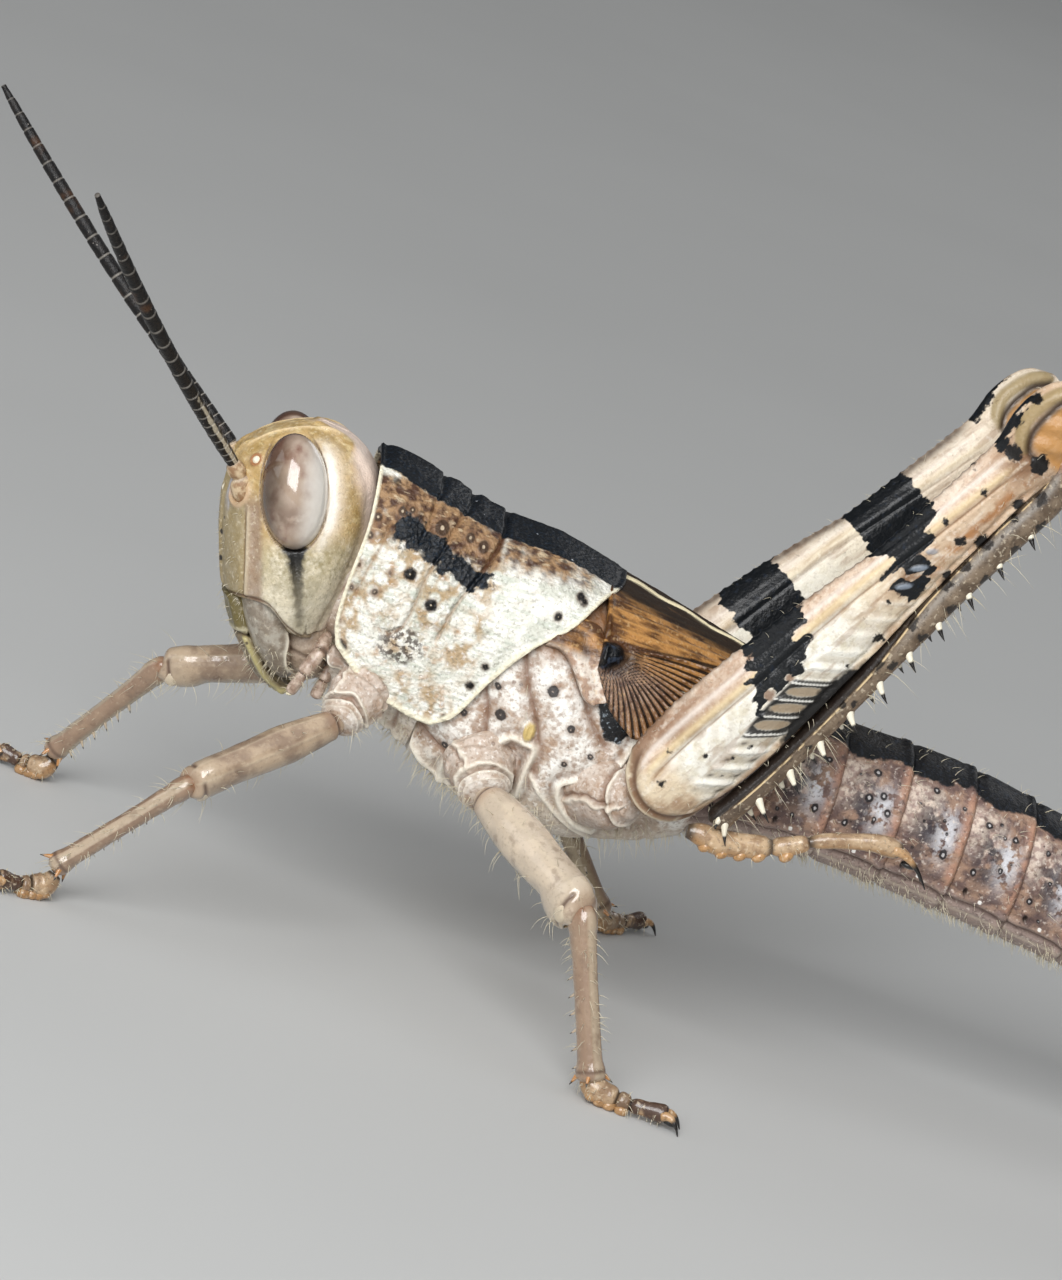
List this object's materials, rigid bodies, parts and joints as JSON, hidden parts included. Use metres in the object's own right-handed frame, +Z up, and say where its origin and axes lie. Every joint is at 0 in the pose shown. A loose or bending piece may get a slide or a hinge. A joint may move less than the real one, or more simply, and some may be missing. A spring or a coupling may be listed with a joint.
{
  "type": "locust nymph",
  "caption": "Life-size still model of a locust nymph with wing pads, standing on its fore and middle feet with both hind legs folded.",
  "frame": {"origin": "middle of the model's footprint, on the floor", "axes": "+Z up, -X towards the head, -Y towards the animal's left side"},
  "size_m": [0.054, 0.0234, 0.0271],
  "materials": {
    "horn": "pale ochre cuticle, softly shining, with brown sutures and one black stripe below the eye",
    "eye": "glossy mauve-brown compound eye with a thin dark rim",
    "feeler": "black-brown rings with pale joints",
    "pronotum": "greenish cream with a granular blue-black crest band, a brown band and dark spots",
    "pleura": "cream side plates with pinkish-brown grooves and dark spots",
    "wing_pad": "orange-brown with a fan of dark ribs",
    "membrane": "soft pinkish neck skin",
    "leg": "taupe, satin, finely freckled",
    "hind_femur": "cream and beige with herringbone ridges and black bands",
    "hind_tibia": "taupe with black dots and ivory, black-tipped spines",
    "foot": "brown with pale pads and black claws",
    "abdomen": "pinkish brown with pale mottling and a black band along the top"
  },
  "bodies": {
    "root": {"eye_left": "eye", "eye_right": "eye", "antenna_left": "feeler", "antenna_right": "feeler", "head": "horn", "labrum": "horn", "mandible_left": "horn", "mandible_right": "horn", "maxilla_left": "horn", "maxilla_right": "horn", "labium": "horn", "pronotum": "pronotum", "forewing_pad_left": "wing_pad", "forewing_pad_right": "wing_pad", "hindwing_pad_left": "wing_pad", "hindwing_pad_right": "wing_pad", "fore_left_femur": "leg", "fore_left_tibia": "leg", "fore_left_foot": "foot", "fore_left_coxa": "leg", "fore_right_femur": "leg", "fore_right_tibia": "leg", "fore_right_foot": "foot", "fore_right_coxa": "leg", "mid_left_femur": "leg", "mid_left_tibia": "leg", "mid_left_foot": "foot", "mid_left_coxa": "leg", "mid_right_femur": "leg", "mid_right_tibia": "leg", "mid_right_foot": "foot", "mid_right_coxa": "leg", "hind_left_tibia": "hind_tibia", "hind_left_femur": "hind_femur", "hind_left_foot": "foot", "hind_left_coxa": "pleura", "hind_right_tibia": "hind_tibia", "hind_right_femur": "hind_femur", "hind_right_foot": "foot", "hind_right_coxa": "pleura", "prothorax": "pleura", "neck": "membrane", "pterothorax": "pleura", "abdomen_1": "abdomen", "abdomen_2": "abdomen", "abdomen_3": "abdomen", "abdomen_4": "abdomen", "abdomen_5": "abdomen", "abdomen_6": "abdomen", "abdomen_7": "abdomen", "abdomen_8": "abdomen", "abdomen_9": "abdomen", "abdomen_10": "abdomen", "cercus_left": "abdomen", "cercus_right": "abdomen", "valves": "abdomen", "abdomen_tip": "abdomen"}
  },
  "joints": []
}
